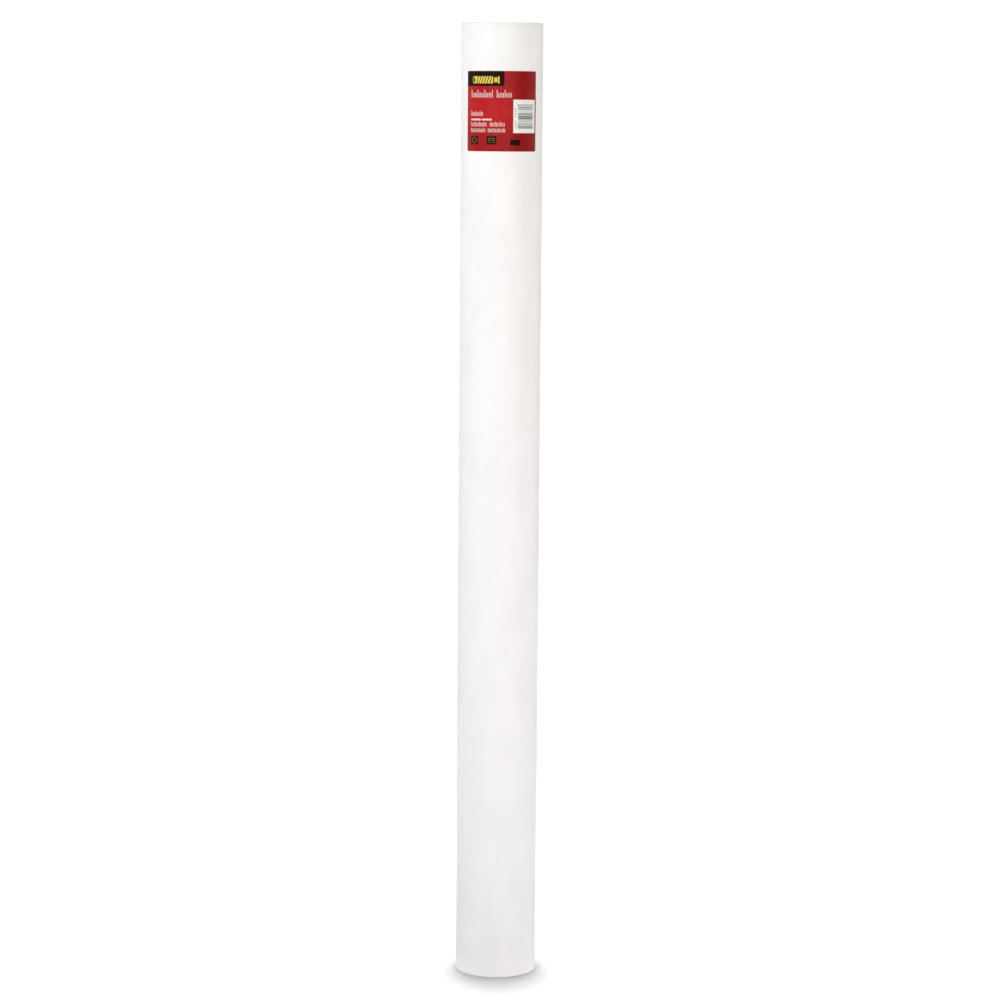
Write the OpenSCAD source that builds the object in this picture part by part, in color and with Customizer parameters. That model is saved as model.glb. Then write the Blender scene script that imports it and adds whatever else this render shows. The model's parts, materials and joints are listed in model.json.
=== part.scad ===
// Mailing and drawing tube.
// A spiral-wound paperboard tube of five plies, a plug end cap in each end and
// a square adhesive label. It stands on its bottom cap, +Z runs up the tube's
// axis, the origin is on the axis in the plane it stands on, and the label
// faces -Y. All sizes are in millimetres.

/* [Tube] */
// Inside diameter of the tube
bore_d = 74.6; // [50:0.1:110]
// Length of the paperboard tube, without its end caps
tube_len = 914.4; // [300:0.1:1220]

/* [Plies] */
// Thickness of the smooth paper liner inside the tube
liner_t = 0.20; // [0.15:0.01:0.5]
// Thickness of each of the three board plies
board_t = 0.36; // [0.3:0.01:0.8]
// Thickness of the white paper wrapped round the outside
wrap_t = 0.16; // [0.12:0.01:0.4]
// Glue film between one ply and the next
glue_t = 0.02; // [0.01:0.01:0.04]

/* [End caps] */
// Thickness of the cap's flange, which sits on the end of the tube
flange_t = 1.2; // [0.8:0.1:3]
// How far the flange's edge stops short of the tube's outside
flange_inset = 0.2; // [0.05:0.05:1]
// Rounding of the flange's outer edge
flange_round = 0.5; // [0.2:0.05:0.6]
// Depth of the skirt below the flange
skirt_len = 16; // [16:0.5:30]
// Thickness of the skirt's wall
skirt_wall = 1.1; // [0.8:0.1:1.6]
// Radial gap between the skirt's grip beads and the tube's bore
skirt_gap = 0.05; // [0.02:0.01:0.1]
// Number of grip beads round the skirt
beads = 3; // [1:1:4]
// Radius of each grip bead's section
bead_r = 0.30; // [0.2:0.05:0.5]
// Depth of the cup from the flange's face to its floor
cup_depth = 12.6; // [8:0.1:14]
// Thickness of the cup's floor
floor_t = 1.2; // [0.8:0.1:2]
// Number of gussets between the cup's wall and its floor
gussets = 8; // [3:1:12]
// Length of each gusset along the floor, and its height up the wall
gusset_leg = 5; // [2:0.5:7]
// Thickness of each gusset
gusset_t = 1.0; // [0.8:0.1:1.6]

/* [Label] */
// Width of the label, measured round the tube
label_w = 75; // [30:0.5:110]
// Height of the label
label_h = 75; // [30:0.5:150]
// Distance from the top end of the tube down to the label's top edge
label_drop = 44.5; // [10:0.5:120]
// Thickness of the label
label_t = 0.12; // [0.08:0.01:0.2]
// Radius of the label's corners
label_corner = 1.5; // [0.5:0.1:4]

/* [Hidden] */
$fn = 128;

overlap = 0.01;                  // how far joined shapes run into each other
overshoot = 1;                   // how far cutters run past what they cut

// Tube
bore_r = bore_d / 2;
tube_z0 = flange_t;              // lower cut end of the tube
tube_z1 = tube_z0 + tube_len;    // upper cut end of the tube
board_pitch = board_t + glue_t;
board_r = [for (i = [0 : 2]) bore_r + liner_t + glue_t + i * board_pitch];
wrap_r = board_r[2] + board_pitch;
tube_r = wrap_r + wrap_t;        // outside radius of the tube

// End caps: heights are measured from the tube's end face
flange_r = tube_r - flange_inset;
skirt_r = bore_r - skirt_gap - bead_r; // plain wall between the beads
cup_r = skirt_r - skirt_wall;    // inside of the cup
cup_floor = flange_t - cup_depth; // upper face of the cup's floor
mouth_bevel = 0.5;               // bevel at the cup's mouth
lead_in = 1.5;                   // length of the skirt's lead-in taper
lead_inset = 0.6;                // how far the taper comes in
bead_top = 3.5;                  // depth of the first bead
bead_margin = 2;                 // from the last bead to the taper
bead_pitch = (skirt_len - lead_in - bead_top - bead_margin) / max(beads - 1, 1);
ring_r = cup_r * 0.42;           // inside of the floor's stiffening ring
ring_w = 1.2;
ring_h = 0.5;                    // up to the centre of the ring's round crown
gate_r = 1.6;                    // moulding gate
gate_h = 0.6;
gusset_embed = 0.3;              // how far a gusset runs into the cup's wall
gusset_top = 0.6;                // width of a gusset's top, out from the wall
gusset_toe = 0.8;                // height of a gusset's inner end

// Label
label_r = tube_r + 0.01;         // underside of the label, just clear of the tube
label_mid_r = label_r + label_t / 2;
label_z1 = tube_z1 - label_drop;
label_z0 = label_z1 - label_h;
label_arc = arc_angle(label_w);
corner_arc = arc_angle(label_corner);
front = -90;                     // direction of -Y about the axis
waste_reach = 2;                 // corner waste each side of the tube's surface

// Angle that a length round the label's middle surface takes up.
function arc_angle(len) = len / label_mid_r * 180 / PI;

// One ply, as a plain sleeve of inside radius r and thickness t.
module ply(r, t) {
    translate([0, 0, tube_z0])
        difference() {
            cylinder(r = r + t, h = tube_len);
            translate([0, 0, -overshoot]) cylinder(r = r, h = tube_len + 2 * overshoot);
        }
}

// The cap's profiles lie in a half plane through its axis: x is the radius, and
// y = 0 is the tube's end face.

// Flange with a rounded outer edge and a bevel at the cup's mouth.
module flange_section() {
    round_x = flange_r - flange_round;
    round_y = flange_t - flange_round;
    bevel_y = flange_t - mouth_bevel;
    difference() {
        union() {
            translate([cup_r, 0]) square([round_x - cup_r, flange_t]);
            translate([cup_r, 0]) square([flange_r - cup_r, round_y]);
            translate([round_x, round_y]) circle(r = flange_round);
        }
        polygon([[cup_r - overshoot, flange_t + overshoot],
                 [cup_r + mouth_bevel + overshoot, flange_t + overshoot],
                 [cup_r, bevel_y], [cup_r - overshoot, bevel_y]]);
    }
}

// Skirt, tapered at its free end so that it starts easily, with its grip beads.
module skirt_section() {
    polygon([[cup_r, overlap], [skirt_r, overlap], [skirt_r, lead_in - skirt_len],
             [skirt_r - lead_inset, -skirt_len], [cup_r, -skirt_len]]);
    for (i = [0 : beads - 1])
        translate([skirt_r, -bead_top - i * bead_pitch]) circle(r = bead_r, $fn = 24);
}

// Floor of the cup, with its stiffening ring and the gate in its middle.
module floor_section() {
    translate([0, cup_floor - floor_t]) square([cup_r + overlap, floor_t]);
    translate([ring_r, cup_floor - overlap]) square([ring_w, ring_h + overlap]);
    translate([ring_r + ring_w / 2, cup_floor + ring_h]) circle(r = ring_w / 2, $fn = 24);
    translate([0, cup_floor - overlap]) square([gate_r, gate_h + overlap]);
}

// One gusset, standing on the cup's floor against its wall.
module gusset() {
    toe_x = cup_r - gusset_leg;
    back_x = cup_r + gusset_embed;
    top_y = cup_floor + gusset_leg;
    rotate([90, 0, 0])
        translate([0, 0, -gusset_t / 2])
            linear_extrude(height = gusset_t)
                polygon([[toe_x, cup_floor - overlap], [back_x, cup_floor - overlap],
                         [back_x, top_y], [cup_r - gusset_top, top_y],
                         [toe_x, cup_floor + gusset_toe]]);
}

// A whole cap with the tube's end face at z = 0 and its flange upwards.
module end_cap() {
    rotate_extrude() {
        flange_section();
        skirt_section();
        floor_section();
    }
    for (i = [0 : gussets - 1])
        rotate([0, 0, (i + 0.5) * 360 / gussets]) gusset();
}

// Waste outside the label's rounded +Y, +Z corner, for a label that faces +X.
module corner_waste() {
    c = label_corner;
    inner = tube_r - waste_reach;
    past = inner - overshoot;
    past_len = 2 * (waste_reach + overshoot);
    rotate([0, 90, 0])
        difference() {
            translate([-c, -c, inner]) cube([2 * c, 2 * c, 2 * waste_reach]);
            translate([0, 0, past]) cylinder(r = c, h = past_len, $fn = 48);
            // take away the -Z half, then the -Y half
            translate([0, -2 * c, past]) cube([2 * c, 4 * c, past_len]);
            translate([-2 * c, -2 * c, past]) cube([4 * c, 2 * c, past_len]);
        }
}

module inner_liner() { color([0.80, 0.77, 0.71]) ply(bore_r, liner_t); }
module inner_board_ply() { color([0.62, 0.56, 0.47]) ply(board_r[0], board_t); }
module middle_board_ply() { color([0.60, 0.54, 0.45]) ply(board_r[1], board_t); }
module outer_board_ply() { color([0.62, 0.56, 0.47]) ply(board_r[2], board_t); }
module white_outer_wrap() { color([0.96, 0.96, 0.95]) ply(wrap_r, wrap_t); }

module top_end_cap() {
    color([0.95, 0.95, 0.93]) translate([0, 0, tube_z1]) end_cap();
}

module bottom_end_cap() {
    color([0.95, 0.95, 0.93]) translate([0, 0, tube_z0]) rotate([180, 0, 0]) end_cap();
}

// The label wraps round the front of the tube, centred on -Y.
module label() {
    // each corner: side (1 is +X), height, turn of the waste about its radial axis
    corners = [[ 1, label_z1 - label_corner, 0],
               [-1, label_z1 - label_corner, 90],
               [-1, label_z0 + label_corner, 180],
               [ 1, label_z0 + label_corner, 270]];
    color([0.70, 0.15, 0.15])
        difference() {
            rotate([0, 0, front - label_arc / 2])
                rotate_extrude(angle = label_arc)
                    translate([label_r, label_z0]) square([label_t, label_h]);
            for (corner = corners)
                rotate([0, 0, front + corner[0] * (label_arc / 2 - corner_arc)])
                    translate([0, 0, corner[1]])
                        rotate([corner[2], 0, 0]) corner_waste();
        }
}

inner_liner();
inner_board_ply();
middle_board_ply();
outer_board_ply();
white_outer_wrap();
top_end_cap();
bottom_end_cap();
label();
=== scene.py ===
import json
import math
import random
from collections import namedtuple

import bmesh
import bpy
import numpy as np
from mathutils import Matrix, Vector, noise
from mathutils.geometry import delaunay_2d_cdt

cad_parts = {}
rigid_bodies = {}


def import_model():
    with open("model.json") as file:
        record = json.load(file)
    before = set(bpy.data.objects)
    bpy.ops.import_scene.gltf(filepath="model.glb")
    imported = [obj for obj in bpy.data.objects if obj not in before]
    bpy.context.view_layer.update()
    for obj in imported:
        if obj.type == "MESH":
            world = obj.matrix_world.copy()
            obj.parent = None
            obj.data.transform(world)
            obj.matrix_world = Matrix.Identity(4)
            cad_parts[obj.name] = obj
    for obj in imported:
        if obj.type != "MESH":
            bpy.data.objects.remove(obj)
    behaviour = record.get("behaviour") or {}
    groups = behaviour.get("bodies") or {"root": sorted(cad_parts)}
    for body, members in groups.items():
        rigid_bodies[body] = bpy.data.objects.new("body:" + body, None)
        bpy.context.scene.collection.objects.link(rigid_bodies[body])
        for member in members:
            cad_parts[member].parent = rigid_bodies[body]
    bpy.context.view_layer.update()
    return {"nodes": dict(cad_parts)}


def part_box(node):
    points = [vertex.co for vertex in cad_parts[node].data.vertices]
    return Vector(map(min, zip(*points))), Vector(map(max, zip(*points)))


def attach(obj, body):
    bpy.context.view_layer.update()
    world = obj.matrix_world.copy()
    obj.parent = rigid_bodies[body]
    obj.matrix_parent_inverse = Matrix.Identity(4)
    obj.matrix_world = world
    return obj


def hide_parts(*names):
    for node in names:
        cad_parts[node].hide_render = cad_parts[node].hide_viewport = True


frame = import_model()

MM = 0.001
TAU = 2 * math.pi
scene = bpy.context.scene


# ----------------------------------------------------------------- sizes
Wall = namedtuple("Wall", "inner outer z0 z1")


def wall_of(node):
    """Inner radius, outer radius, lowest z and highest z of a round CAD node."""
    co = np.array([v.co for v in frame["nodes"][node].data.vertices], float)
    radii = np.hypot(co[:, 0], co[:, 1])
    return Wall(radii.min(), radii.max(), co[:, 2].min(), co[:, 2].max())


LINER = wall_of("inner_liner")
WRAP = wall_of("white_outer_wrap")
LABEL = wall_of("label")

PITCH = 0.1408  # climb of a ply's seam in one turn
SEGMENTS = 192  # round the wrap, the liner and the caps
BOARD_SEGMENTS = 240
UNDER_SEAMS = (0.335, 0.672)  # seams of the plies beneath, as fractions of the pitch


# ------------------------------------------------------------ mesh helpers
def link_mesh(name, me, materials, index, sharp):
    """Smooth-shades a mesh, with edges over sharp degrees kept crisp, and links its object."""
    for material in materials:
        me.materials.append(material)
    if index is not None:
        me.polygons.foreach_set("material_index", np.array(index, np.int32))
    me.polygons.foreach_set("use_smooth", np.ones(len(me.polygons), bool))
    me.update()
    if sharp:
        me.set_sharp_from_angle(angle=math.radians(sharp))
    ob = bpy.data.objects.new(name, me)
    scene.collection.objects.link(ob)
    return ob


def mesh_object(name, verts, faces, materials, index=None, sharp=None):
    me = bpy.data.meshes.new(name)
    me.from_pydata([tuple(v) for v in verts], [], [tuple(f) for f in faces])
    return link_mesh(name, me, materials, index, sharp)


def bm_object(name, bm, material, sharp):
    me = bpy.data.meshes.new(name)
    bm.normal_update()
    bm.to_mesh(me)
    bm.free()
    return link_mesh(name, me, [material], None, sharp)


def finish_piece(ob, body, node):
    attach(ob, body)
    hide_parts(node)
    return ob


def arc(cx, cy, radius, start, end, steps):
    """Points of an arc round (cx, cy), from angle start to angle end in degrees."""
    angles = [math.radians(start + (end - start) * i / steps) for i in range(steps + 1)]
    return [(cx + radius * math.cos(a), cy + radius * math.sin(a)) for a in angles]


# --------------------------------------------------------------- materials
def toned(colour, gain, lift=0.0):
    return tuple(min(1.0, c * gain + lift) for c in colour)


class Shader:
    """A material round one Principled shader, with shorthand for its nodes."""

    def __init__(self, name):
        self.mat = bpy.data.materials.new(name)
        self.mat.use_nodes = True
        self.tree = self.mat.node_tree
        self.tree.nodes.clear()
        self.out = self.node("OutputMaterial")
        self.bsdf = self.node("BsdfPrincipled")
        self.link(self.bsdf.outputs[0], self.out.inputs[0])
        self.coord = self.node("TexCoord").outputs["Object"]

    def node(self, kind):
        return self.tree.nodes.new("ShaderNode" + kind)

    def link(self, source, target):
        self.tree.links.new(source, target)

    def put(self, socket, value):
        if isinstance(value, bpy.types.NodeSocket):
            self.link(value, socket)
        else:
            socket.default_value = value

    def noise(
        self, scale, detail=4.0, rough=0.55, stretch=(1, 1, 1), offset=(0, 0, 0), distortion=0.0
    ):
        mapping = self.node("Mapping")
        mapping.inputs["Scale"].default_value = stretch
        mapping.inputs["Location"].default_value = offset
        self.link(self.coord, mapping.inputs[0])
        n = self.node("TexNoise")
        n.inputs["Scale"].default_value = scale
        n.inputs["Detail"].default_value = detail
        n.inputs["Roughness"].default_value = rough
        n.inputs["Distortion"].default_value = distortion
        self.link(mapping.outputs[0], n.inputs["Vector"])
        return n.outputs[0]

    def calc(self, operation, one, two):
        n = self.node("Math")
        n.operation = operation
        self.put(n.inputs[0], one)
        self.put(n.inputs[1], two)
        n.inputs[2].default_value = 0.0
        return n.outputs[0]

    def ramp(self, value, over, to=(0.0, 1.0)):
        """Eases from to[0] to to[1] as the value goes over a range."""
        n = self.node("MapRange")
        n.interpolation_type = "SMOOTHSTEP"
        self.link(value, n.inputs["Value"])
        for key, number in zip(("From Min", "From Max", "To Min", "To Max"), (*over, *to)):
            n.inputs[key].default_value = number
        return n.outputs["Result"]

    def mix(self, factor, one, two):
        n = self.node("Mix")
        n.data_type = "RGBA"
        self.put(n.inputs[0], factor)
        for socket, colour in ((n.inputs[6], one), (n.inputs[7], two)):
            self.put(socket, (*colour, 1) if isinstance(colour, tuple) else colour)
        return n.outputs[2]

    def tint(self, base, pattern, over, colour, amount=1.0):
        """Lays a colour over base, up to amount, as the pattern rises over a range."""
        return self.mix(self.ramp(pattern, over, (0.0, amount)), base, colour)

    def split(self, vector):
        n = self.node("SeparateXYZ")
        self.link(vector, n.inputs[0])
        return n.outputs

    def bumps(self, *layers):
        """Stacks bump layers of (height pattern, depth in metres, strength), deepest first."""
        normal = None
        for height, distance, strength in layers:
            n = self.node("Bump")
            n.inputs["Strength"].default_value = strength
            n.inputs["Distance"].default_value = distance
            self.link(height, n.inputs["Height"])
            if normal is not None:
                self.link(normal, n.inputs["Normal"])
            normal = n.outputs[0]
        return normal

    def finish(self, colour, rough, normal, **more):
        self.link(colour, self.bsdf.inputs["Base Color"])
        self.put(self.bsdf.inputs["Roughness"], rough)
        self.link(normal, self.bsdf.inputs["Normal"])
        for key, value in more.items():
            self.put(self.bsdf.inputs[key.replace("_", " ")], value)
        return self.mat


def end_mask(n, reach):
    """1 at the cut ends of the tube, falling to 0 a reach away from them."""
    z = n.split(n.coord)[2]
    low = n.ramp(z, over=(WRAP.z0, WRAP.z0 + reach), to=(1.0, 0.0))
    high = n.ramp(z, over=(WRAP.z1 - reach, WRAP.z1))
    return n.calc("MAXIMUM", low, high)


def white_paper():
    """Coated white kraft paper wound round the outside, worn at the cut ends."""
    n = Shader("white_wrap_paper")
    cloud = n.noise(scale=38, detail=3, rough=0.5, stretch=(1, 1, 0.45))
    fibre = n.noise(scale=1500, detail=5, rough=0.62, stretch=(1, 1, 0.55), distortion=0.6)
    tooth = n.noise(scale=4200, detail=3, rough=0.6)
    cockle = n.noise(scale=170, detail=2, rough=0.5, stretch=(1, 1, 0.6), offset=(3, 1, 2))
    speck = n.noise(scale=900, detail=2, rough=0.5, offset=(7, 2, 5))
    base = n.tint((0.905, 0.905, 0.903), cloud, over=(0.36, 0.66), colour=(0.935, 0.935, 0.932))
    base = n.tint(base, fibre, over=(0.60, 0.78), colour=(0.84, 0.835, 0.82), amount=0.22)
    base = n.tint(base, speck, over=(0.735, 0.76), colour=(0.62, 0.58, 0.52), amount=0.30)
    ends = end_mask(n, reach=0.0016)
    patches = n.ramp(n.noise(scale=520, detail=4, rough=0.6), over=(0.45, 0.68))
    worn = n.calc("MULTIPLY", ends, patches)
    base = n.mix(n.calc("MULTIPLY", worn, 0.30), base, (0.76, 0.73, 0.68))
    rough = n.ramp(fibre, over=(0.3, 0.7), to=(0.50, 0.60))
    rough = n.calc("ADD", rough, n.calc("MULTIPLY", worn, 0.2))
    normal = n.bumps((cockle, 0.00006, 0.55), (fibre, 0.000022, 0.6), (tooth, 0.000008, 0.5))
    return n.finish(
        base, rough, normal, Specular_IOR_Level=0.42, Sheen_Weight=0.03, Sheen_Roughness=0.5
    )


def paperboard(name, light, dark, scale=1.0):
    """Recycled chipboard, as seen on a cut end."""
    n = Shader(name)
    cloud = n.noise(scale=70 * scale, detail=4, rough=0.6)
    fibre = n.noise(
        scale=1900 * scale, detail=6, rough=0.7, stretch=(1, 1, 0.5), distortion=1.2
    )
    fleck = n.noise(scale=650 * scale, detail=2, rough=0.4, offset=(4, 8, 1))
    pale = n.noise(scale=1100 * scale, detail=2, rough=0.4, offset=(1, 5, 9))
    base = n.tint(dark, cloud, over=(0.35, 0.68), colour=light)
    base = n.tint(base, fibre, over=(0.52, 0.74), colour=toned(dark, 0.62), amount=0.55)
    base = n.tint(base, pale, over=(0.66, 0.74), colour=toned(light, 1.35), amount=0.55)
    base = n.tint(base, fleck, over=(0.72, 0.76), colour=(0.10, 0.085, 0.07), amount=0.75)
    tooth = n.noise(scale=4800, detail=3, rough=0.6)
    normal = n.bumps((fibre, 0.00007, 0.9), (tooth, 0.00002, 0.7))
    rough = n.ramp(fibre, over=(0.3, 0.7), to=(0.82, 0.95))
    return n.finish(base, rough, normal, Specular_IOR_Level=0.22)


def liner_paper():
    """Smooth machine-finished paper, the inside of the bore."""
    n = Shader("liner_kraft_paper")
    cloud = n.noise(scale=55, detail=3, rough=0.55)
    fibre = n.noise(scale=1600, detail=5, rough=0.66, stretch=(1, 1, 0.5), distortion=0.9)
    speck = n.noise(scale=800, detail=2, rough=0.5, offset=(2, 9, 4))
    base = n.tint((0.60, 0.54, 0.45), cloud, over=(0.35, 0.68), colour=(0.68, 0.62, 0.53))
    base = n.tint(base, fibre, over=(0.54, 0.76), colour=(0.46, 0.39, 0.30), amount=0.4)
    base = n.tint(base, speck, over=(0.72, 0.76), colour=(0.22, 0.18, 0.13), amount=0.6)
    tooth = n.noise(scale=4600, detail=3, rough=0.6)
    normal = n.bumps((fibre, 0.00004, 0.8), (tooth, 0.00001, 0.6))
    rough = n.ramp(fibre, over=(0.3, 0.7), to=(0.66, 0.80))
    return n.finish(base, rough, normal, Specular_IOR_Level=0.30)


def cap_plastic():
    """Natural white low-density polyethylene, moulded with a fine spark-eroded grain."""
    n = Shader("cap_polyethylene")
    cloud = n.noise(scale=60, detail=2, rough=0.5)
    grain = n.noise(scale=2600, detail=4, rough=0.6)
    flow = n.noise(
        scale=130, detail=3, rough=0.6, stretch=(1, 1, 2.2), offset=(5, 5, 5), distortion=0.8
    )
    rub = n.noise(scale=700, detail=5, rough=0.7, stretch=(3, 1, 1), offset=(1, 2, 3))
    base = n.tint((0.855, 0.855, 0.845), cloud, over=(0.35, 0.68), colour=(0.895, 0.895, 0.885))
    base = n.tint(base, flow, over=(0.58, 0.80), colour=(0.84, 0.84, 0.825), amount=0.25)
    grain_rough = n.ramp(grain, over=(0.35, 0.7), to=(0.34, 0.46))
    rub_rough = n.ramp(rub, over=(0.62, 0.74), to=(0.0, 0.16))
    rough = n.calc("ADD", grain_rough, rub_rough)
    normal = n.bumps((flow, 0.00003, 0.5), (grain, 0.000016, 0.6), (rub, 0.000008, 0.5))
    return n.finish(
        base, rough, normal, Specular_IOR_Level=0.5, Subsurface_Weight=0.18,
        Subsurface_Radius=(0.0016, 0.0015, 0.0013), Subsurface_Scale=1.0,
    )


def shade_sheet(n, base):
    """Darkens the right side of the label's sheet, and its foot and head."""
    axes = n.split(n.coord)
    foot_z, middle_z, head_z = 0.806, 0.832, 0.862
    side = n.ramp(axes[0], over=(0.002, 0.019), to=(0.0, 0.27))
    foot = n.ramp(axes[2], over=(foot_z, middle_z), to=(0.27, 0.0))
    head = n.ramp(axes[2], over=(middle_z, head_z), to=(0.0, 0.20))
    base = n.mix(side, base, (0, 0, 0))
    return n.mix(n.calc("ADD", foot, head), base, (0, 0, 0))


def ink(name, colour, tone=0.06, level=0.14, shade=None):
    """One printed colour of the label: ink on smooth paper with a satin finish.
    tone is how far it mottles, level its specular level."""
    n = Shader("label_" + name)
    mottle = n.noise(scale=420, detail=4, rough=0.6)
    fibre = n.noise(scale=2200, detail=4, rough=0.6, stretch=(0.6, 0.6, 1), distortion=0.4)
    screen = n.noise(scale=6500, detail=2, rough=0.5)
    darker = toned(colour, 1 - tone * 2)
    base = n.tint(darker, mottle, over=(0.32, 0.68), colour=toned(colour, 1 + tone))
    base = n.tint(base, screen, over=(0.60, 0.80), colour=toned(colour, 1.2, 0.01), amount=0.12)
    if shade:
        base = shade(n, base)
    rough = n.ramp(fibre, over=(0.3, 0.7), to=(0.38, 0.50))
    normal = n.bumps((fibre, 0.000012, 0.5), (screen, 0.000004, 0.4))
    return n.finish(base, rough, normal, Specular_IOR_Level=level)


M_WHITE = white_paper()
M_BOARD = [
    paperboard("board_inner", (0.50, 0.43, 0.34), (0.36, 0.30, 0.22)),
    paperboard("board_middle", (0.44, 0.375, 0.295), (0.31, 0.255, 0.19), scale=1.1),
    paperboard("board_outer", (0.50, 0.43, 0.34), (0.36, 0.30, 0.22), scale=0.93),
]
M_LINER = liner_paper()
M_CAP = cap_plastic()


# ------------------------------------------------------------ the plies
def spiral_wall(radius, z0, z1, start, rows, relief, inward):
    """The wall of a ply. Its mesh rows climb with the ply's seam, and relief(fraction, angle, z)
    moves each point in or out. rows are fractions of one pitch, start a height of the seam."""
    per_turn = len(rows)
    turns = range(
        math.floor((z0 - start) / PITCH) - 2,
        math.ceil((z1 - start) / PITCH) + 1,
    )
    row_z = np.array([start + (turn + f) * PITCH for turn in turns for f in rows])
    row_fraction = np.array([f for _ in turns for f in rows])
    around = np.arange(SEGMENTS) * TAU / SEGMENTS
    base_z, angle = np.meshgrid(row_z, around, indexing="ij")
    fraction = np.repeat(row_fraction[:, None], SEGMENTS, 1)
    z = base_z + PITCH * angle / TAU
    r = radius + relief(fraction, angle, z)
    verts = np.stack([r * np.cos(angle), r * np.sin(angle), z], -1).reshape(-1, 3)

    keep = np.zeros(len(verts), bool)
    faces = []
    for i in range(len(row_z) - 1):
        if row_z[i] > z1 + 0.002 or row_z[i + 1] + PITCH < z0 - 0.002:
            continue
        for j in range(SEGMENTS):
            lower = i * SEGMENTS + j
            if j + 1 < SEGMENTS:
                next_lower = lower + 1
            elif i + 1 + per_turn < len(row_z):
                # a row's end meets the start of the row one turn higher
                next_lower = (i + per_turn) * SEGMENTS
            else:
                continue
            corners = (lower, next_lower, next_lower + SEGMENTS, lower + SEGMENTS)
            heights = [z.flat[k] for k in corners]
            if max(heights) < z0 - 1e-5 or min(heights) > z1 + 1e-5:
                continue
            faces.append(corners[::-1] if inward else corners)
            keep[list(corners)] = True

    renumbered = np.cumsum(keep) - 1
    bm = bmesh.new()
    bm_verts = [bm.verts.new(v) for v in verts[keep]]
    for face in faces:
        bm.faces.new([bm_verts[renumbered[k]] for k in face])
    for cut, side in ((z0, -1), (z1, 1)):
        bmesh.ops.bisect_plane(
            bm, geom=bm.verts[:] + bm.edges[:] + bm.faces[:], dist=2e-6,
            plane_co=(0, 0, cut), plane_no=(0, 0, side), clear_outer=True,
        )
    return bm


def angle_of(vert):
    return math.atan2(vert.co.y, vert.co.x) % TAU


def end_loop(bm, z):
    """The vertices of an open end at height z, in order round the axis."""
    loop = [
        v for v in bm.verts
        if abs(v.co.z - z) < 4e-6 and any(e.is_boundary for e in v.link_edges)
    ]
    return sorted(loop, key=angle_of)


def add_rim(bm, loop, rings, z, into, flip):
    """Carries an open end's loop through rings of (radius, depth) and returns the last loop.
    Depth, a length or a function of the angle, runs from height z into the tube."""
    last = loop
    count = len(loop)
    for radius, depth in rings:
        ring = []
        for v in loop:
            a = math.atan2(v.co.y, v.co.x)
            height = z + into * (depth(a) if callable(depth) else depth)
            ring.append(bm.verts.new((radius * math.cos(a), radius * math.sin(a), height)))
        for i in range(count):
            k = (i + 1) % count
            quad = (last[i], last[k], ring[k], ring[i])
            bm.faces.new(quad[::-1] if flip else quad)
        last = ring
    return last


def bridge(bm, one, two):
    """Joins two loops of unequal count with triangles, by angle."""
    i = j = 0
    angles_one = [angle_of(v) for v in one] + [TAU + angle_of(one[0])]
    angles_two = [angle_of(v) for v in two] + [TAU + angle_of(two[0])]
    while i < len(one) or j < len(two):
        if j >= len(two) or (i < len(one) and angles_one[i + 1] <= angles_two[j + 1]):
            bm.faces.new((one[i], one[(i + 1) % len(one)], two[j % len(two)]))
            i += 1
        else:
            bm.faces.new((one[i % len(one)], two[(j + 1) % len(two)], two[j]))
            j += 1


def fuzz(frequency, amount, seed):
    """A depth below the cut plane that varies round the end, as sawn paper does."""
    def depth(a, r=WRAP.outer):
        across = math.cos(a) * r * frequency + seed
        along = math.sin(a) * r * frequency
        return amount * (0.5 + 0.5 * noise.noise(Vector((across, along, seed * 1.7))))
    return depth


def seam_rows(groove, divisions):
    """Row fractions of one pitch: close rows at the seam and at each seam beneath, and wide
    rows between. groove is the half width of the seam's groove."""
    half = groove / PITCH
    rows = {0.0}
    for step in (0.45, 0.75, 1.1, 3.2):
        rows |= {step * half, 1 - step * half}
    for seam in UNDER_SEAMS:
        for offset in (-3.0, -1.9, -1.0, -0.4, 0.0, 0.4, 1.0, 1.9, 3.0):
            rows.add((seam + offset * MM / PITCH) % 1.0)
    for k in range(1, divisions):
        f = k / divisions
        if min(abs(f - x) for x in rows | {1.0}) > 2.2 * MM / PITCH:
            rows.add(f)
    return sorted(rows)


def bell(distance, width):
    return np.exp(-((distance / width) ** 2))


WRAP_GROOVE = 0.19 * MM
LINER_GROOVE = 0.42 * MM


def wrap_relief(fraction, angle, z):
    """A groove with lips at the seam, hollows over the seams beneath and a faint waviness."""
    away = np.minimum(fraction, 1 - fraction) * PITCH  # from the seam, up the tube
    groove = -0.055 * MM * np.clip((WRAP_GROOVE - away) / (0.09 * MM), 0, 1)
    relief = groove + 0.010 * MM * bell(away - 0.5 * MM, 0.35 * MM)
    for seam in UNDER_SEAMS:
        relief = relief - 0.014 * MM * bell(np.abs(fraction - seam) * PITCH, 1.1 * MM)
    return relief + 0.012 * MM * np.sin(2 * angle + 9 * z) * np.sin(31 * z + 1.3)


def liner_relief(fraction, angle, z):
    """The same, seen from the bore, where a larger radius is a hollow."""
    away = np.minimum(fraction, 1 - fraction) * PITCH
    relief = 0.11 * MM * np.clip((LINER_GROOVE - away) / (0.16 * MM), 0, 1)
    for seam in UNDER_SEAMS:
        relief = relief + 0.02 * MM * bell(np.abs(fraction - seam) * PITCH, 1.3 * MM)
    return relief - 0.02 * MM * bell(away - 0.8 * MM, 0.6 * MM)


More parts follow.
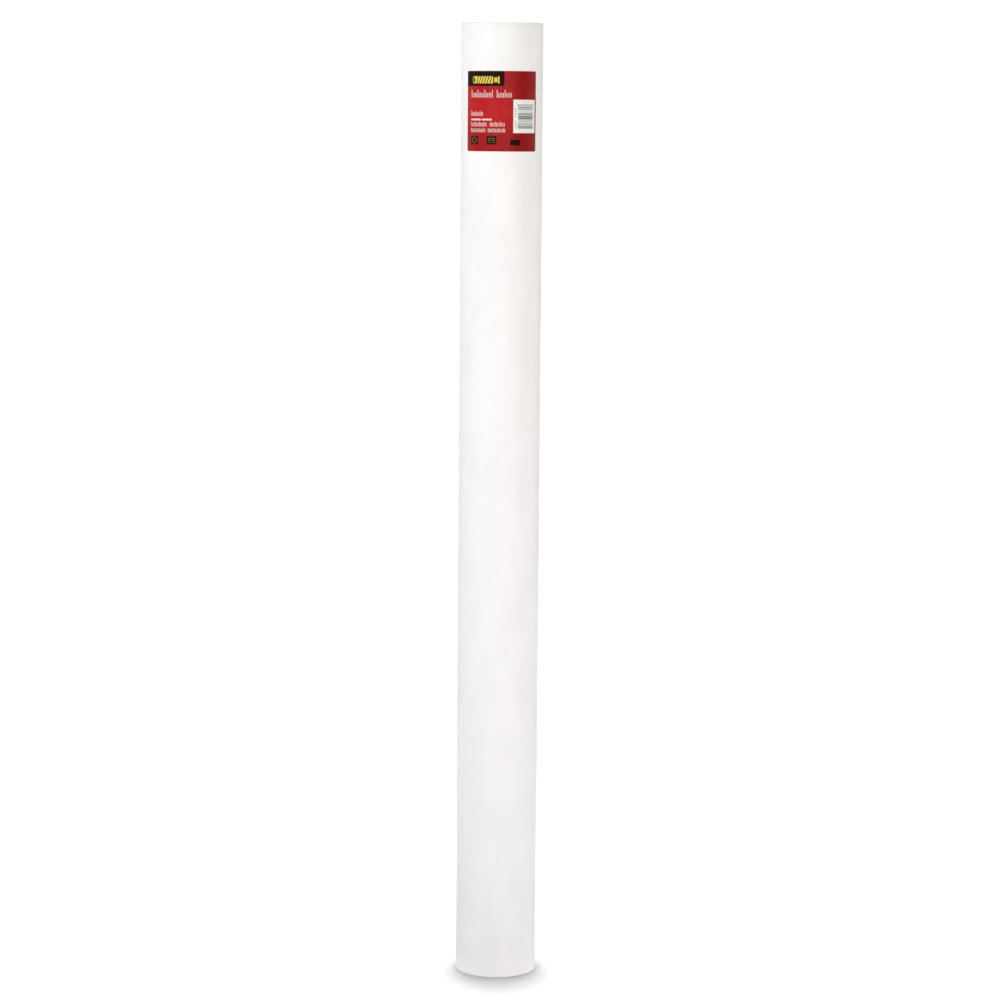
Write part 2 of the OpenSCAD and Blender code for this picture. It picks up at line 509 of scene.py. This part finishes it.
def build_paper_ply(
    name, node, material, wall, *, radius, start, rows, relief, trim, rim, inward
):
    """A paper ply: a detailed wall stopping a trim short of each cut end, a rim at each end
    and a plain wall on its hidden side."""
    z0, z1 = wall.z0 + trim, wall.z1 - trim
    bm = spiral_wall(radius, z0, z1, start, rows, relief, inward)
    loops = []
    for z, into in ((wall.z0, 1), (wall.z1, -1)):
        loop = end_loop(bm, z + into * trim)
        loops.append(add_rim(bm, loop, rim, z, into, flip=(into > 0) != inward))
    low, high = loops
    if inward:
        bridge(bm, low, high)
    else:
        bridge(bm, high, low)
    bmesh.ops.recalc_face_normals(bm, faces=bm.faces[:])
    finish_piece(bm_object(name, bm, material, 50), "tube", node)


def build_wrap():
    fray = fuzz(frequency=900, amount=0.05 * MM, seed=3.1)
    build_paper_ply(
        "outer_wrap", "white_outer_wrap", M_WHITE, WRAP,
        radius=WRAP.outer - 0.008 * MM,
        start=0.0193,
        rows=seam_rows(WRAP_GROOVE, divisions=22),
        relief=wrap_relief,
        trim=0.07 * MM,
        rim=[
            (WRAP.outer - 0.020 * MM, 0.030 * MM),
            (WRAP.outer - 0.055 * MM, lambda a: 0.004 * MM + fray(a)),
            (WRAP.inner + 0.025 * MM, lambda a: 0.004 * MM + fray(a + 0.4)),
            (WRAP.inner, 0.035 * MM),
        ],
        inward=False,
    )


def build_liner():
    fray = fuzz(frequency=800, amount=0.05 * MM, seed=8.4)
    build_paper_ply(
        "bore_liner", "inner_liner", M_LINER, LINER,
        radius=LINER.inner,
        start=0.0871,
        rows=seam_rows(LINER_GROOVE, divisions=16),
        relief=liner_relief,
        trim=0.06 * MM,
        rim=[
            (LINER.inner + 0.02 * MM, 0.025 * MM),
            (LINER.inner + 0.06 * MM, lambda a: 0.004 * MM + fray(a)),
            (LINER.outer - 0.03 * MM, lambda a: 0.004 * MM + fray(a + 0.7)),
            (LINER.outer, 0.04 * MM),
        ],
        inward=True,
    )


def build_board(k, place, seams):
    """A board ply. Each cut end shows its thickness, its sawn fibres and the butt of its seam.
    seams are the seam's angles at the lower and the upper end."""
    node = place + "_board_ply"
    inner, outer, z0, z1 = wall_of(node)

    def from_seam(a, seam):
        return abs((a - seam + math.pi) % TAU - math.pi)

    angles = [i * TAU / BOARD_SEGMENTS for i in range(BOARD_SEGMENTS)]
    angles = [a for a in angles if min(from_seam(a, s) for s in seams) > 1.1 * MM / outer]
    for seam in seams:
        angles += [(seam + d * MM / outer) % TAU for d in (-0.62, -0.30, 0.30, 0.62)]
    angles.sort()
    coarse = fuzz(frequency=700, amount=0.09 * MM, seed=5.3 + 2.9 * k)
    fine = fuzz(frequency=2300, amount=0.05 * MM, seed=1.1 + k)

    # radius, inset from the cut end, share of the fuzz (None: a plain ring on the wall)
    end = [
        (outer, 0.95 * MM, None),
        (outer, 0.07 * MM, 0.0),
        (outer - 0.02 * MM, 0.02 * MM, 0.3),
        (outer - 0.07 * MM, 0.0, 0.9),
        (inner + 0.5 * (outer - inner), 0.0, 1.0),
        (inner + 0.07 * MM, 0.0, 0.9),
        (inner + 0.02 * MM, 0.02 * MM, 0.3),
        (inner, 0.07 * MM, 0.0),
        (inner, 0.95 * MM, None),
    ]
    verts = []
    for cut, into, seam, rings in ((z0, 1, seams[0], end), (z1, -1, seams[1], end[::-1])):
        for r, inset, share in rings:
            for a in angles:
                z = cut + into * inset
                if share is not None:
                    if from_seam(a, seam) < 0.35 * MM / outer:
                        z += into * 0.9 * MM
                    else:
                        z += into * (0.006 * MM + share * (coarse(a, r) + fine(a, r)))
                verts.append((r * math.cos(a), r * math.sin(a), z))
    ring_count, count = 2 * len(end), len(angles)
    faces = []
    for i in range(ring_count):
        this, after = i * count, (i + 1) % ring_count * count
        for j in range(count):
            k_next = (j + 1) % count
            faces.append((this + j, after + j, after + k_next, this + k_next))
    ob = mesh_object("board_" + place + "_ply", verts, faces, [M_BOARD[k]], sharp=50)
    finish_piece(ob, "tube", node)


# ------------------------------------------------------------ the end caps
# Sizes in mm. z = 0 is the tube's cut end, on which the flange rests.
FLANGE_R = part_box("top_end_cap")[1].x / MM
BEAD_R = 0.30
SKIRT_R = LINER.inner / MM - 0.05 - BEAD_R  # the beads clear the bore by 0.05
CUP_R = SKIRT_R - 1.1
FLANGE_TOP = 1.2
FLOOR_UNDER = -12.6
FLOOR_Z = FLOOR_UNDER + 1.2
BEAD_PITCH = 4.5
GUSSETS = 8


def dish(r):
    """Sag of the cup's floor, deepest at the axis."""
    return -0.16 * max(0.0, 1 - (r / CUP_R) ** 2)


def cap_profile():
    """Half section of the cap, from the axis over the top and back to the axis below."""
    # small boss with a hollow in its middle
    p = [(0.0, FLOOR_Z + 0.52), (0.45, FLOOR_Z + 0.56), (0.55, FLOOR_Z + 0.66)]
    p.append((0.9, FLOOR_Z + 0.62))
    p += arc(1.35, FLOOR_Z + 0.37, 0.25, 90, 0, 5)
    p += arc(1.85, FLOOR_Z + 0.25, 0.25, 180, 270, 5)
    p += [(r, FLOOR_Z) for r in (3.5, 5.5, 7.5, 9.5, 11.5, 13.2, 14.2)]
    # round-topped ring on the floor, with a fillet on each side
    ring_half, fillet = 0.6, 0.4
    ring = CUP_R * 0.42 + ring_half
    p += arc(ring - ring_half - fillet, FLOOR_Z + fillet, fillet, 270, 360, 5)
    p += arc(ring, FLOOR_Z + 0.5, ring_half, 180, 0, 12)
    p += arc(ring + ring_half + fillet, FLOOR_Z + fillet, fillet, 180, 270, 5)
    p += [(r, FLOOR_Z) for r in (18.5, 20.5, 23, 25.5, 28, 30.5, 32.8, 34.2)]
    p = [(r, z + dish(r)) for r, z in p]
    # cup wall, opening slightly upward
    p += arc(CUP_R - 0.9, FLOOR_Z + 0.9, 0.9, 270, 360, 7)
    p += [(CUP_R + 0.012 * (z - FLOOR_Z), z) for z in (-9.0, -7.0, -5.0, -3.0, -1.5)]
    # flange
    p += arc(CUP_R + 0.75, FLANGE_TOP - 0.55, 0.55, 180, 90, 7)
    p += [(CUP_R + 1.4, FLANGE_TOP), (FLANGE_R - 0.9, FLANGE_TOP)]
    p += arc(FLANGE_R - 0.5, FLANGE_TOP - 0.5, 0.5, 90, 0, 8)
    p += arc(FLANGE_R - 0.12, 0.12, 0.12, 0, -90, 4)
    # skirt with three grip beads
    p.append((SKIRT_R + 0.35, 0.0))
    p += arc(SKIRT_R + 0.18, -0.18, 0.18, 90, 180, 4)
    for i in range(3):
        z = -3.5 - BEAD_PITCH * i
        p.append((SKIRT_R, z + 0.50))
        p += arc(SKIRT_R, z, BEAD_R, 78, -78, 12)
        p.append((SKIRT_R, z - 0.50))
        if i < 2:
            p.append((SKIRT_R, z - BEAD_PITCH / 2))
    # tapered foot of the skirt, and back up inside it
    p += [(SKIRT_R, -14.3), (SKIRT_R - 0.04, -14.55), (SKIRT_R - 0.28, -15.2)]
    p += arc(SKIRT_R - 0.78, -15.72, 0.28, 15, -90, 6)
    p += arc(CUP_R + 0.22, -15.78, 0.22, -90, -180, 5)
    p += [(CUP_R, z) for z in (-15.2, -14.4, -13.6)]
    # underside of the floor
    p += arc(CUP_R - 0.5, FLOOR_UNDER - 0.5, 0.5, 0, 90, 5)
    p += [(r, FLOOR_UNDER + dish(r)) for r in (34, 31, 27, 23, 19, 15, 11, 7, 3.5, 0.0)]
    # drop points that repeat the one before
    out = [p[0]]
    for q in p[1:]:
        if abs(q[0] - out[-1][0]) + abs(q[1] - out[-1][1]) > 1e-4:
            out.append(q)
    return out


def revolve(profile):
    """A bmesh of the profile turned round z. A point on the axis becomes a single vertex."""
    bm = bmesh.new()
    rows = []
    for r, z in profile:
        if r < 1e-6:
            rows.append([bm.verts.new((0, 0, z))] * SEGMENTS)
            continue
        angles = [TAU * j / SEGMENTS for j in range(SEGMENTS)]
        rows.append([bm.verts.new((r * math.cos(a), r * math.sin(a), z)) for a in angles])
    for one, two in zip(rows, rows[1:]):
        for j in range(SEGMENTS):
            k = (j + 1) % SEGMENTS
            bm.faces.new(tuple(dict.fromkeys((one[j], two[j], two[k], one[k]))))
    return bm


def add_gusset(bm, angle):
    """A web between the cup's wall and its floor, with softened edges."""
    leg, thickness = 5.0, 1.0
    section = [
        (CUP_R - leg, FLOOR_Z - 0.25), (CUP_R + 0.3, FLOOR_Z - 0.25), (CUP_R + 0.3, FLOOR_Z + leg),
        (CUP_R - 0.6, FLOOR_Z + leg), (CUP_R - leg, FLOOR_Z + 0.8),
    ]
    part = bmesh.new()
    one, two = [
        [part.verts.new((r, y, z)) for r, z in section] for y in (-thickness / 2, thickness / 2)
    ]
    part.faces.new(one)
    part.faces.new(two[::-1])
    for i in range(len(section)):
        j = (i + 1) % len(section)
        part.faces.new((one[i], two[i], two[j], one[j]))
    bmesh.ops.recalc_face_normals(part, faces=part.faces[:])
    bmesh.ops.bevel(
        part, geom=part.edges[:], offset=0.16, segments=3, profile=0.5, affect="EDGES"
    )
    turn = Matrix.Rotation(angle, 3, "Z")
    bmesh.ops.rotate(part, verts=part.verts[:], cent=(0, 0, 0), matrix=turn)
    carrier = bpy.data.meshes.new("gusset_tmp")
    part.to_mesh(carrier)
    part.free()
    bm.from_mesh(carrier)
    bpy.data.meshes.remove(carrier)


def build_cap(name, body, node, z, turn):
    """An end cap with its flange on the cut end at height z, turned about x."""
    bm = revolve(cap_profile())
    for k in range(GUSSETS):
        add_gusset(bm, (k + 0.5) * TAU / GUSSETS)
    bmesh.ops.recalc_face_normals(bm, faces=bm.faces[:])
    place = Matrix.Translation((0, 0, z)) @ Matrix.Rotation(turn, 4, "X") @ Matrix.Scale(MM, 4)
    bmesh.ops.transform(bm, matrix=place, verts=bm.verts[:])
    return finish_piece(bm_object(name, bm, M_CAP, 38), body, node)


# ----------------------------------------------------------------- the label
# Sizes in mm. u runs right and v runs down from the top left corner of the sheet.
LABEL_W = 75.0
LABEL_H = (LABEL.z1 - LABEL.z0) / MM
CORNER_R = 1.5
BLOCK_W, BLOCK_H = 40.1, 14.0
GUIDE_COLUMNS = 60
GUIDE_ROWS = 12
RED, DARK, YELLOW, CREAM, PANEL, BLACK, GREY, GOLD, EDGE = range(9)

LABEL_MATERIALS = [
    ink("red", (0.50, 0.0120, 0.0135), shade=shade_sheet),
    ink("dark", (0.013, 0.004, 0.001), level=0.07),
    ink("yellow", (0.76, 0.60, 0.09)),
    ink("cream", (0.84, 0.70, 0.68)),
    ink("panel", (0.86, 0.87, 0.84), tone=0.02),
    ink("black", (0.060, 0.085, 0.075)),
    ink("grey", (0.34, 0.38, 0.35)),
    ink("gold", (0.30, 0.20, 0.03)),
    paperboard("label_edge_paper", (0.86, 0.85, 0.82), (0.74, 0.72, 0.68)),
]


# A shape is a pair: its outline, and the number of its colour.
def rect(u0, v0, u1, v1, colour):
    return ([(u0, v0), (u1, v0), (u1, v1), (u0, v1)], colour)


def rounded(u0, v0, u1, v1, r, colour, steps=6):
    r = min(r, (u1 - u0) / 2 - 1e-3, (v1 - v0) / 2 - 1e-3)
    outline = arc(u1 - r, v0 + r, r, -90, 0, steps) + arc(u1 - r, v1 - r, r, 0, 90, steps)
    outline += arc(u0 + r, v1 - r, r, 90, 180, steps) + arc(u0 + r, v0 + r, r, 180, 270, steps)
    return (outline, colour)


def disc(u, v, r, colour, sides=40, squeeze=1.0):
    angles = [TAU * i / sides for i in range(sides)]
    return ([(u + squeeze * r * math.cos(a), v + r * math.sin(a)) for a in angles], colour)


def scale(u0, u1, short_top, long_top, foot, stroke, step, every):
    """A run of plain graduations, like those of a rule: every so many strokes one is long."""
    out = []
    for i in range(int((u1 - u0 - stroke) / step + 1e-6) + 1):
        u = u0 + i * step
        top = short_top if i % every else long_top
        out.append(rounded(u, top, u + stroke, foot, 0.18, CREAM, 3))
    return out


def corner_block():
    """Dark block on the top left corner, with a pictogram of a spiral-wound tube and its cap."""
    corner = arc(CORNER_R, CORNER_R, CORNER_R, 180, 270, 8)
    s = [(corner + [(BLOCK_W, 0.0), (BLOCK_W, BLOCK_H), (0.0, BLOCK_H)], DARK)]
    top, foot = 4.9, 11.7
    s.append(rounded(9.2, top, 29.4, foot, 0.3, YELLOW))
    for k in range(6):
        u = 12.6 + 2.75 * k
        s.append(([(u + 1.5, top), (u + 2.35, top), (u + 0.15, foot), (u - 0.7, foot)], DARK))
    s.append(disc(9.2, 8.3, 3.4, YELLOW, squeeze=0.50))
    s.append(disc(9.2, 8.3, 2.45, DARK, sides=36, squeeze=0.46))
    s.append(rounded(30.6, 6.0, 33.4, 10.6, 0.25, YELLOW))
    s.append(rounded(33.9, top, 35.5, foot, 0.45, YELLOW))
    return s


def graduations():
    """The title band's two runs, a short run, a broken rule and two rows of two runs."""
    s = []
    for u0, u1 in ((6.0, 30.0), (33.0, 47.4)):
        s += scale(u0, u1, 20.3, 17.6, 24.8, stroke=0.62, step=1.50, every=5)
    s += scale(5.8, 20.4, 38.3, 37.2, 42.0, stroke=0.55, step=1.30, every=4)
    s.append(rounded(5.5, 44.5, 17.4, 46.1, 0.4, CREAM))
    s.append(rounded(18.3, 44.5, 28.3, 46.1, 0.4, CREAM))
    # left, right, top of the short strokes, top of the long strokes, foot
    for run in (
        (5.6, 24.0, 48.2, 47.3, 51.8), (26.6, 41.2, 48.2, 47.3, 51.8),
        (5.6, 22.0, 53.8, 53.1, 57.2), (24.6, 41.0, 53.8, 53.1, 57.2),
    ):
        s += scale(*run, stroke=0.52, step=1.22, every=4)
    return s


def size_pictograms():
    """The tube's width from its end, its length from its side, and a plain dark tab."""
    return [
        rounded(5.4, 60.6, 14.1, 68.5, 0.5, DARK),
        disc(9.75, 64.55, 2.9, GOLD),
        disc(9.75, 64.55, 2.45, DARK),
        rect(7.4, 64.42, 12.1, 64.68, GOLD),
        rounded(23.4, 60.6, 32.9, 68.5, 0.5, DARK),
        rounded(25.0, 62.4, 31.3, 64.7, 0.4, GOLD),
        rounded(25.4, 62.8, 30.9, 64.3, 0.3, DARK),
        rect(25.0, 66.35, 31.3, 66.6, GOLD),
        rect(24.9, 65.75, 25.15, 67.2, GOLD),
        rect(31.15, 65.75, 31.4, 67.2, GOLD),
        rounded(45.8, 64.0, 55.6, 69.2, 1.0, DARK),
    ]


def bar_panel():
    """White panel with a stack of bars that encodes nothing and a column of grey marks."""
    s = [rounded(48.8, 26.6, 73.3, 57.7, 0.5, PANEL)]
    rnd = random.Random(20)
    v, k = 31.0, 0
    while v < 53.6:
        share = 0.5 + 0.34 * math.sin(0.62 * (v - 29.5))  # chance of a thicker bar
        bar = 0.30 * (1 + int(rnd.random() < share) + int(rnd.random() < share * 0.6))
        left, right = (52.6, 71.2) if k % 15 in (0, 1) else (53.6, 70.4)
        s.append(rect(left, v, right, min(v + bar, 53.8), BLACK))
        v += bar + 0.33 * (1 + int(rnd.random() > share) + int(rnd.random() > share))
        k += 1
    for i in range(9):
        v = 32.4 + 2.3 * i
        if i not in (0, 5):
            s.append(rounded(50.4, v, 51.7, v + 1.25, 0.2, GREY, 2))
    return s


def guide_lines():
    """Lines across the sheet that give it enough points to bend round the tube."""
    lines = []
    for i in range(1, GUIDE_COLUMNS):
        u = LABEL_W * i / GUIDE_COLUMNS
        inset = 0.0
        to_side = min(u, LABEL_W - u)
        if to_side < CORNER_R:
            rise = math.sqrt(CORNER_R ** 2 - (CORNER_R - to_side) ** 2)
            inset = CORNER_R - rise + 0.02
        lines.append(((u, inset), (u, LABEL_H - inset)))
    for i in range(1, GUIDE_ROWS):
        v = LABEL_H * i / GUIDE_ROWS
        lines.append(((0.0, v), (LABEL_W, v)))
    return lines


def triangulate_print():
    """The flat sheet: its (u, v) points, its faces and the colour number of each face."""
    shapes = [rounded(0, 0, LABEL_W, LABEL_H, CORNER_R, RED, 8)]
    shapes += corner_block() + graduations() + size_pictograms() + bar_panel()
    points, edges, outlines = [], [], []
    for outline, _ in shapes:
        outlines.append(list(range(len(points), len(points) + len(outline))))
        points += [Vector(p) for p in outline]
    for line in guide_lines():
        edges.append((len(points), len(points) + 1))
        points += [Vector(p) for p in line]
    verts, _, faces, _, _, owners = delaunay_2d_cdt(points, edges, outlines, 1, 1e-5, True)
    uv = np.array([(p.x, p.y) for p in verts], float)
    # the topmost shape colours a face
    colours = [shapes[max(owner)][1] if owner else RED for owner in owners]
    outward = []
    for face in faces:
        a, b, c = (uv[i] for i in face[:3])
        turn = (b[0] - a[0]) * (c[1] - a[1]) - (b[1] - a[1]) * (c[0] - a[0])
        outward.append(tuple(face[::-1] if turn > 0 else face))
    return uv, outward, colours


def set_label_normals(me, verts, printed, sides):
    """Radial normals on the printed face and the back, flat ones on the sheet's edge."""
    radial = verts.copy()
    radial[:, 2] = 0
    radial /= np.linalg.norm(radial, axis=1)[:, None]
    loop_verts = np.zeros(len(me.loops), np.int32)
    me.loops.foreach_get("vertex_index", loop_verts)
    normals = radial[loop_verts]
    for i in range(printed, len(me.polygons)):
        polygon = me.polygons[i]
        span = slice(polygon.loop_start, polygon.loop_start + polygon.loop_total)
        if i < printed + sides:
            normals[span] = np.array(polygon.normal)
        else:
            normals[span] *= -1
    me.normals_split_custom_set([tuple(x) for x in normals])


def build_label():
    uv, printed, colours = triangulate_print()
    angle = (uv[:, 0] - LABEL_W / 2) / (0.5 * (LABEL.inner + LABEL.outer) / MM)
    z = LABEL.z1 - uv[:, 1] * MM
    verts = np.concatenate([
        np.stack([r * np.sin(angle), -r * np.cos(angle), z], 1)
        for r in (LABEL.outer, LABEL.inner)
    ])
    k = len(uv)
    directed = dict.fromkeys(
        (face[i], face[(i + 1) % len(face)]) for face in printed for i in range(len(face))
    )
    border = [(a, b) for a, b in directed if (b, a) not in directed]
    sides = [(b, a, a + k, b + k) for a, b in border]
    back = [tuple(i + k for i in face[::-1]) for face in printed]
    index = colours + [EDGE] * (len(sides) + len(back))
    ob = mesh_object("printed_label", verts, printed + sides + back, LABEL_MATERIALS, index)
    set_label_normals(ob.data, verts, len(printed), len(sides))
    finish_piece(ob, "tube", "label")


# -------------------------------------------------------------- all pieces
build_wrap()
build_liner()
build_board(0, "inner", seams=(2.1, 4.4))
build_board(1, "middle", seams=(0.4, 5.6))
build_board(2, "outer", seams=(3.5, 1.2))
CAPS = [
    build_cap("top_cap_moulding", "top_cap", "top_end_cap", WRAP.z1, 0.0),
    build_cap("bottom_cap_moulding", "bottom_cap", "bottom_end_cap", WRAP.z0, math.pi),
]
build_label()


# ------------------------------------------------------------------- floor
def floor_bounce(n, position):
    """Brightness of the floor as the object sees it, and the distance from the tube's axis.
    It is dimmest beside the foot and brightest close in front of it."""
    at = n.split(position)
    x, y = at["X"], at["Y"]
    flat = n.node("CombineXYZ")
    n.link(x, flat.inputs["X"])
    n.link(y, flat.inputs["Y"])
    length = n.node("VectorMath")
    length.operation = "LENGTH"
    n.link(flat.outputs[0], length.inputs[0])
    away = length.outputs["Value"]
    left_reach = n.ramp(away, over=(0.22, 0.34), to=(1.0, 0.0))
    left = n.calc("MULTIPLY", left_reach, n.ramp(x, over=(-0.05, 0.0), to=(1.0, 0.0)))
    right_reach = n.ramp(away, over=(0.09, 0.15), to=(1.0, 0.0))
    right = n.calc("MULTIPLY", right_reach, n.ramp(x, over=(0.0, 0.05)))
    beside = n.calc("MAXIMUM", left, right)
    bounce = n.mix(beside, (0.60, 0.60, 0.60), (0.47, 0.47, 0.47))
    reach = n.calc("SUBTRACT", away, n.ramp(y, over=(-0.045, -0.02), to=(0.014, 0.0)))
    near = n.ramp(reach, over=(0.044, 0.054), to=(1.0, 0.0))
    close = n.calc("MULTIPLY", near, n.ramp(y, over=(-0.02, 0.02), to=(1.0, 0.0)))
    return n.mix(close, bounce, (0.90, 0.90, 0.90)), away


def floor_material():
    n = Shader("studio_floor")
    cloud = n.noise(scale=3.0, detail=3, rough=0.5)
    card = n.tint((0.895, 0.895, 0.895), cloud, over=(0.3, 0.7), colour=(0.915, 0.915, 0.915))
    # the sheet is a little darker where the object shades it closely
    shaded = n.node("AmbientOcclusion")
    shaded.samples = 12
    shaded.inputs["Distance"].default_value = 0.07
    n.link(card, shaded.inputs["Color"])
    # the camera sees it as white card; to the object it is a dimmer reflector
    seen = n.node("LightPath").outputs["Is Camera Ray"]
    geometry = n.node("NewGeometry").outputs
    bounce, away = floor_bounce(n, geometry["Position"])
    base = n.mix(seen, bounce, shaded.outputs["Color"])
    grain = n.noise(scale=900, detail=3, rough=0.5)
    n.finish(base, 0.85, n.bumps((grain, 0.00005, 0.3)), Specular_IOR_Level=0.1)
    # far from the object it fades to the plain white of the room, so no edge of it shows
    white = n.node("Emission")
    white.inputs["Color"].default_value = (1, 1, 1, 1)
    white.inputs["Strength"].default_value = 1.05
    far = n.node("MixShader")
    n.link(n.calc("MULTIPLY", n.ramp(away, over=(0.42, 0.95)), seen), far.inputs[0])
    n.link(n.bsdf.outputs[0], far.inputs[1])
    n.link(white.outputs[0], far.inputs[2])
    # clear from below, so that a camera under the floor sees the tube's foot
    clear = n.node("BsdfTransparent")
    sided = n.node("MixShader")
    n.link(geometry["Backfacing"], sided.inputs[0])
    n.link(far.outputs[0], sided.inputs[1])
    n.link(clear.outputs[0], sided.inputs[2])
    n.link(sided.outputs[0], n.out.inputs[0])
    return n.mat


def build_floor():
    cells = 32
    width, depth = 4.4, 3.9
    steps = range(cells + 1)
    verts = [
        (-2.2 + width * j / cells, -2.8 + depth * i / cells, -0.00004)
        for i in steps for j in steps
    ]
    corners = [i * (cells + 1) + j for i in range(cells) for j in range(cells)]
    faces = [(a, a + 1, a + cells + 2, a + cells + 1) for a in corners]
    ob = mesh_object("studio_floor_sheet", verts, faces, [floor_material()])
    return ob


FLOOR = build_floor()

# ------------------------------------------------------------------ lights
UPPER = (0, 0, 0.8)
LOWER = (0, 0, 0.25)
SMALL = (0.32, 0.50)

# name, place, target, (width, height), watts, colour
LIGHTS = [
    ("floor_back", (0.1, 1.2, 2.2), (0, 0.2, 0), (1.2, 1.4), 29.1, (0.958, 0.999, 1.134)),
    ("floor_top_back", (0, 1.3, 2.2), (0, 0.2, 0), (2.6, 1.6), 11.4, (0.958, 0.995, 1.171)),
    ("side_left", (-1.494, -0.131, 1.25), UPPER, SMALL, 2.28, (1.011, 0.987, 1.095)),
    ("quarter_left", (-1.229, -0.860, 1.25), UPPER, SMALL, 1.44, (0.899, 1.021, 1.089)),
    ("key_left", (-0.923, -1.182, 1.25), UPPER, SMALL, 1.96, (0.947, 1.008, 1.078)),
    ("key_left_front", (-0.513, -1.410, 1.25), UPPER, SMALL, 8.87, (1.016, 0.996, 0.999)),
    ("key_right_front", (0.513, -1.410, 1.25), UPPER, SMALL, 3.15, (1.029, 1.027, 0.648)),
    ("low_right_front", (0.513, -1.410, 0.35), LOWER, SMALL, 5.17, (1.086, 0.968, 1.067)),
    ("low_right", (0.923, -1.182, 0.35), LOWER, SMALL, 0.774, (1.002, 1.000, 0.997)),
    ("low_rim_right", (1.449, 0.388, 0.35), LOWER, SMALL, 0.951, (0.886, 1.025, 1.090)),
    ("floor_back_left", (-0.35, 1.2, 2.2), (0, 0.1, 0), (0.8, 1.2), 13, (1.02, 0.992, 1.02)),
    ("cap_front", (0, -1, 1.9), (0, 0, 0.9), (0.5, 0.4), 4.8, (1, 1, 1)),
    ("cap_under", (0.15, -0.35, -0.9), (0, 0, 0), (0.5, 0.4), 4.5, (1, 1, 1)),
]
# the only things a lamp lights; a lamp not listed lights everything
LIT_ONLY = {
    "floor_back": "floor", "floor_top_back": "floor", "floor_back_left": "floor",
    "cap_front": "caps", "cap_under": "caps",
}

lit = {key: bpy.data.collections.new("lit_" + key) for key in ("floor", "caps", "solid")}
lit["floor"].objects.link(FLOOR)
cad_names = {ob.name for ob in frame["nodes"].values()}
for ob in scene.objects:
    if ob.type == "MESH" and ob != FLOOR and ob.name not in cad_names:
        lit["solid"].objects.link(ob)
for cap in CAPS:
    lit["caps"].objects.link(cap)


def build_light(name, place, target, size, watts, colour):
    data = bpy.data.lights.new(name, "AREA")
    data.shape = "RECTANGLE"
    data.size, data.size_y = size
    data.energy = watts
    data.color = colour
    # one way of sampling the lamps keeps those with an only-list from brightening the rest
    data.cycles.use_multiple_importance_sampling = False
    lamp = bpy.data.objects.new(name, data)
    lamp.location = place
    lamp.rotation_mode = "QUATERNION"
    lamp.rotation_quaternion = (Vector(target) - Vector(place)).to_track_quat("-Z", "Y")
    scene.collection.objects.link(lamp)
    if name in LIT_ONLY:
        lamp.light_linking.receiver_collection = lit[LIT_ONLY[name]]
    if place[2] < 0:
        # the floor does not shade the lamp under it
        lamp.light_linking.blocker_collection = lit["solid"]


for light in LIGHTS:
    build_light(*light)


def build_world():
    """A white room, brighter behind the object than in front of it, dim again straight behind,
    and seen by the camera as plain white."""
    world = bpy.data.worlds.new("studio")
    scene.world = world
    world.use_nodes = True
    tree = world.node_tree
    tree.nodes.clear()
    link = tree.links.new

    def node(kind):
        return tree.nodes.new("ShaderNode" + kind)

    def map_range(value, start, end, low, high):
        n = node("MapRange")
        link(value, n.inputs["Value"])
        numbers = (("From Min", start), ("From Max", end), ("To Min", low), ("To Max", high))
        for key, number in numbers:
            n.inputs[key].default_value = number
        return n

    out = node("OutputWorld")
    mix = node("MixShader")
    path = node("LightPath")
    soft = node("Background")
    seen = node("Background")
    soft.name = "soft"
    soft.inputs["Color"].default_value = (1.024, 0.996, 0.967, 1)
    seen.inputs["Color"].default_value = (1, 1, 1, 1)
    seen.inputs["Strength"].default_value = 1.05
    axes = node("SeparateXYZ")
    link(node("TexCoord").outputs["Generated"], axes.inputs[0])
    rise = map_range(axes.outputs[1], start=-0.3, end=0.3, low=0.0, high=1.285)
    rise.interpolation_type = "SMOOTHSTEP"
    fall = map_range(axes.outputs[1], start=0.68, end=0.92, low=1.0, high=0.10)
    level = node("Math")
    level.operation = "MULTIPLY"
    link(rise.outputs["Result"], level.inputs[0])
    link(fall.outputs["Result"], level.inputs[1])
    link(level.outputs[0], soft.inputs["Strength"])
    link(path.outputs["Is Camera Ray"], mix.inputs[0])
    link(soft.outputs[0], mix.inputs[1])
    link(seen.outputs[0], mix.inputs[2])
    link(mix.outputs[0], out.inputs[0])


build_world()

scene.view_settings.view_transform = "Standard"
scene.view_settings.look = "None"
scene.view_settings.exposure = 0.0
scene.view_settings.gamma = 1.0

# ------------------------------------------------------------------ camera
# It stands a little below the height of the tube's top and looks down a little.
CAMERA_DISTANCE = 3.0132  # from the tube's axis
CAMERA_HEIGHT = 0.8300
AZIMUTH = math.radians(0.5606)  # round the axis from -y toward +x
DOWNWARD = math.radians(6.9672)
ROLL = math.radians(0.4487)


def build_camera():
    data = bpy.data.cameras.new("camera")
    data.sensor_width = 36.0
    data.lens = 113.328
    data.shift_x = 0.00116
    data.shift_y = -0.00014
    data.clip_start, data.clip_end = 0.05, 50.0
    camera = bpy.data.objects.new("camera", data)
    scene.collection.objects.link(camera)
    sin_az, cos_az = math.sin(AZIMUTH), math.cos(AZIMUTH)
    level = math.cos(DOWNWARD)
    forward = Vector((-sin_az * level, cos_az * level, -math.sin(DOWNWARD)))
    right = Vector((cos_az, sin_az, 0))
    up = right.cross(forward)
    rolled_right = right * math.cos(ROLL) + up * math.sin(ROLL)
    rolled_up = up * math.cos(ROLL) - right * math.sin(ROLL)
    turn = Matrix((rolled_right, rolled_up, -forward)).transposed()
    place = (CAMERA_DISTANCE * sin_az, -CAMERA_DISTANCE * cos_az, CAMERA_HEIGHT)
    camera.matrix_world = Matrix.Translation(place) @ turn.to_4x4()
    scene.camera = camera


build_camera()
